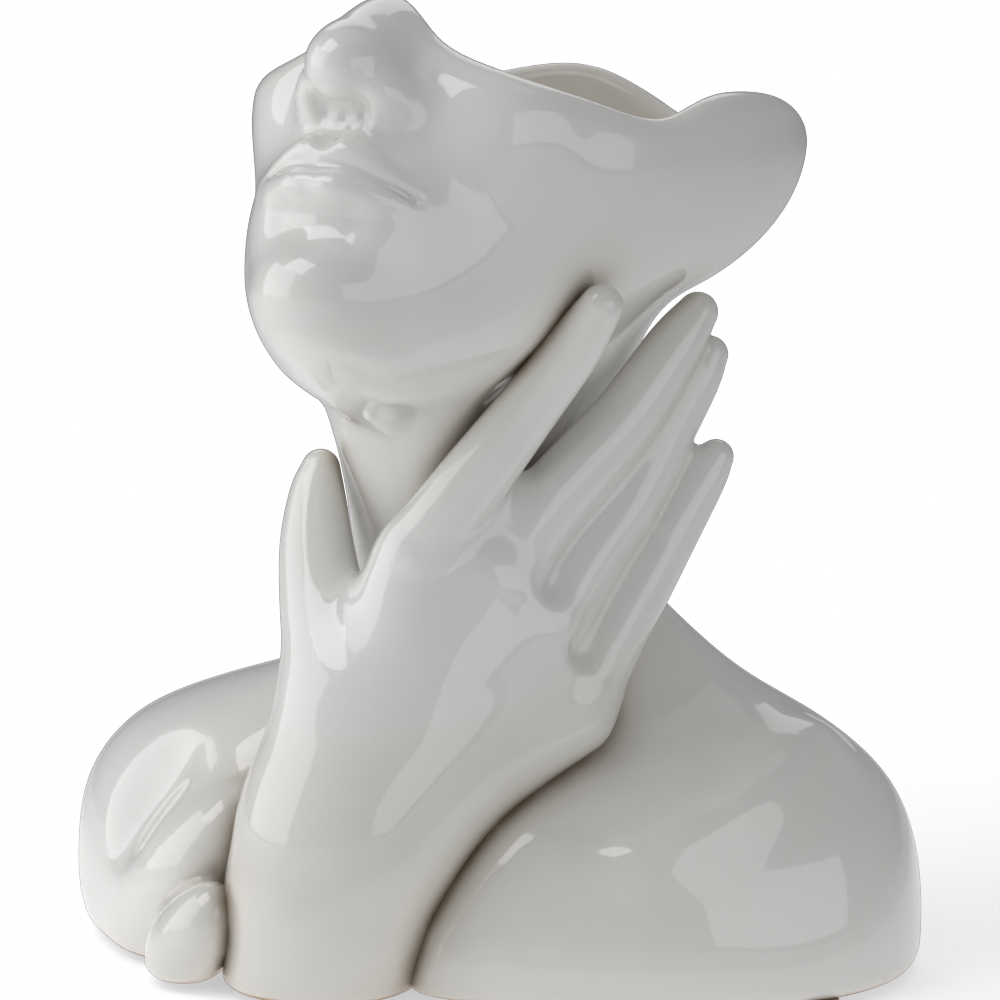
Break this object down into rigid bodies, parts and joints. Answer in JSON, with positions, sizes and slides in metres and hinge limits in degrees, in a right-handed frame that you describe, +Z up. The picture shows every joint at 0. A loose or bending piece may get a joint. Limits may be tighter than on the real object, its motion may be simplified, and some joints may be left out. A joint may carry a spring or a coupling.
{
  "type": "head planter",
  "caption": "Glazed ceramic bust planter: hollow shoulders, slim neck held by a hand, and a tilted head cut open above the nose as a bowl with a wavy rim.",
  "frame": {"origin": "on the floor under the middle of the object's box", "axes": "+Z up, -Y towards the viewer of the front, +X to that viewer's right"},
  "size_m": [0.1896, 0.141, 0.2164],
  "materials": {
    "white_glaze": "high gloss warm white glaze over clay",
    "bare_clay": "unglazed fired clay",
    "plug_silicone": "matt translucent silicone",
    "pad_felt": "brown felt"
  },
  "bodies": {
    "pot": {"torso_casting": "white_glaze", "head_casting": "white_glaze", "hand_casting": "white_glaze", "base_disc": "bare_clay", "foot_pads": "pad_felt"},
    "plug": {"drain_plug": "plug_silicone"}
  },
  "joints": [
    {"name": "plug_pull", "type": "slide", "parent": "pot", "child": "plug", "axis": [0, 0, -1], "range_m": [0, 0.03]}
  ]
}
